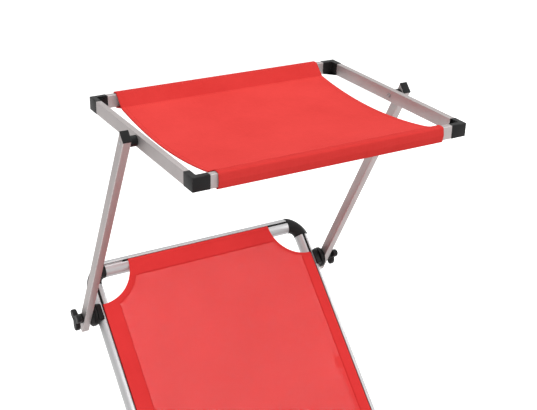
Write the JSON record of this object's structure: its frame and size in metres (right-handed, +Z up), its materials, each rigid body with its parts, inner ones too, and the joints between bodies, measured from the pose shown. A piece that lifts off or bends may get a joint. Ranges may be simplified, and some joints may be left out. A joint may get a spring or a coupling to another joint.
{
  "type": "folding sun lounger with canopy",
  "caption": "Folding sun lounger: oval-tube frame with a reclining mesh backrest, folding legs and a tilting canvas canopy on clamped arms.",
  "frame": {"origin": "on the floor under the middle of the bounding box, with the lounger standing on its two unfolded legs", "axes": "+Y towards the head end, +Z up, +X to the right of someone who looks from the foot end to the head end; names with left are at -X and names with right at +X"},
  "size_m": [0.6982, 1.6626, 1.2388],
  "materials": {
    "aluminium": "satin anodised",
    "black_plastic": "moulded, fine grain",
    "rubber": "matt",
    "steel": "zinc plated",
    "seat_mesh": "open woven mesh with stitched hems",
    "canopy_canvas": "plain woven canvas with stitched sleeves"
  },
  "bodies": {
    "seat": {"seat_cloth": "seat_mesh", "seat_rail_left": "aluminium", "seat_rail_right": "aluminium", "seat_back_hinge_left": "black_plastic", "seat_back_hinge_right": "black_plastic", "seat_foot_hinge_left": "black_plastic", "seat_foot_hinge_right": "black_plastic", "middle_leg_bracket_left": "black_plastic", "middle_leg_bracket_right": "black_plastic"},
    "middle_leg": {"middle_leg_tube": "aluminium", "middle_leg_shoe_left": "rubber", "middle_leg_shoe_right": "rubber"},
    "backrest": {"back_end_rail": "aluminium", "back_cloth": "seat_mesh", "back_rail_left": "aluminium", "back_rail_right": "aluminium", "back_elbow_left": "black_plastic", "back_elbow_right": "black_plastic", "back_hinge_left": "black_plastic", "back_hinge_right": "black_plastic", "rear_leg_bracket_left": "black_plastic", "rear_leg_bracket_right": "black_plastic", "clamp_block_left": "black_plastic", "clamp_block_right": "black_plastic", "clamp_bolt_left": "steel", "clamp_bolt_right": "steel"},
    "rear_leg": {"rear_leg_tube": "aluminium", "rear_leg_shoe_left": "rubber", "rear_leg_shoe_right": "rubber"},
    "foot": {"foot_end_rail": "aluminium", "foot_cloth": "seat_mesh", "foot_rail_left": "aluminium", "foot_rail_right": "aluminium", "foot_elbow_left": "black_plastic", "foot_elbow_right": "black_plastic", "foot_hinge_left": "black_plastic", "foot_hinge_right": "black_plastic", "foot_leg_bracket_left": "black_plastic", "foot_leg_bracket_right": "black_plastic"},
    "foot_leg": {"foot_leg_tube": "aluminium", "foot_leg_shoe_left": "rubber", "foot_leg_shoe_right": "rubber"},
    "canopy_arms": {"arm_left": "aluminium", "arm_right": "aluminium", "arm_cap_left": "black_plastic", "arm_cap_right": "black_plastic"},
    "canopy": {"canopy_front_rail": "aluminium", "canopy_rear_rail": "aluminium", "canopy_side_left": "aluminium", "canopy_side_right": "aluminium", "canopy_front_elbow_left": "black_plastic", "canopy_front_elbow_right": "black_plastic", "canopy_rear_elbow_left": "black_plastic", "canopy_rear_elbow_right": "black_plastic", "canopy_cloth": "canopy_canvas", "canopy_pivot_left": "steel", "canopy_pivot_right": "steel"},
    "knob_left": {"knob_left": "black_plastic"},
    "knob_right": {"knob_right": "black_plastic"}
  },
  "joints": [
    {"name": "backrest_recline", "type": "hinge", "parent": "seat", "child": "backrest", "pos_m": [0, 0.33822, 0.294], "axis": [1, 0, 0], "range_deg": [-47.4, 42.6]},
    {"name": "foot_fold", "type": "hinge", "parent": "seat", "child": "foot", "pos_m": [0, -0.25178, 0.294], "axis": [-1, 0, 0], "range_deg": [0, 170]},
    {"name": "foot_leg_fold", "type": "hinge", "parent": "foot", "child": "foot_leg", "pos_m": [0, -0.57178, 0.243], "axis": [1, 0, 0], "range_deg": [0, 100]},
    {"name": "middle_leg_fold", "type": "hinge", "parent": "seat", "child": "middle_leg", "pos_m": [0, 0.26822, 0.243], "axis": [-1, 0, 0], "range_deg": [0, 102]},
    {"name": "rear_leg_fold", "type": "hinge", "parent": "backrest", "child": "rear_leg", "pos_m": [0, 0.59236, 0.49503], "axis": [1, 0, 0], "range_deg": [0, 98]},
    {"name": "canopy_arms_swing", "type": "hinge", "parent": "backrest", "child": "canopy_arms", "pos_m": [0, 0.74919, 0.71137], "axis": [1, 0, 0], "range_deg": [-72, 45]},
    {"name": "canopy_tilt", "type": "hinge", "parent": "canopy_arms", "child": "canopy", "pos_m": [0, 0.45991, 1.21362], "axis": [1, 0, 0], "range_deg": [-60, 60]},
    {"name": "knob_left_turn", "type": "hinge", "parent": "canopy_arms", "child": "knob_left", "pos_m": [-0.3381, 0.74919, 0.71137], "axis": [-1, 0, 0], "continuous": true},
    {"name": "knob_right_turn", "type": "hinge", "parent": "canopy_arms", "child": "knob_right", "pos_m": [0.3381, 0.74919, 0.71137], "axis": [1, 0, 0], "continuous": true}
  ]
}
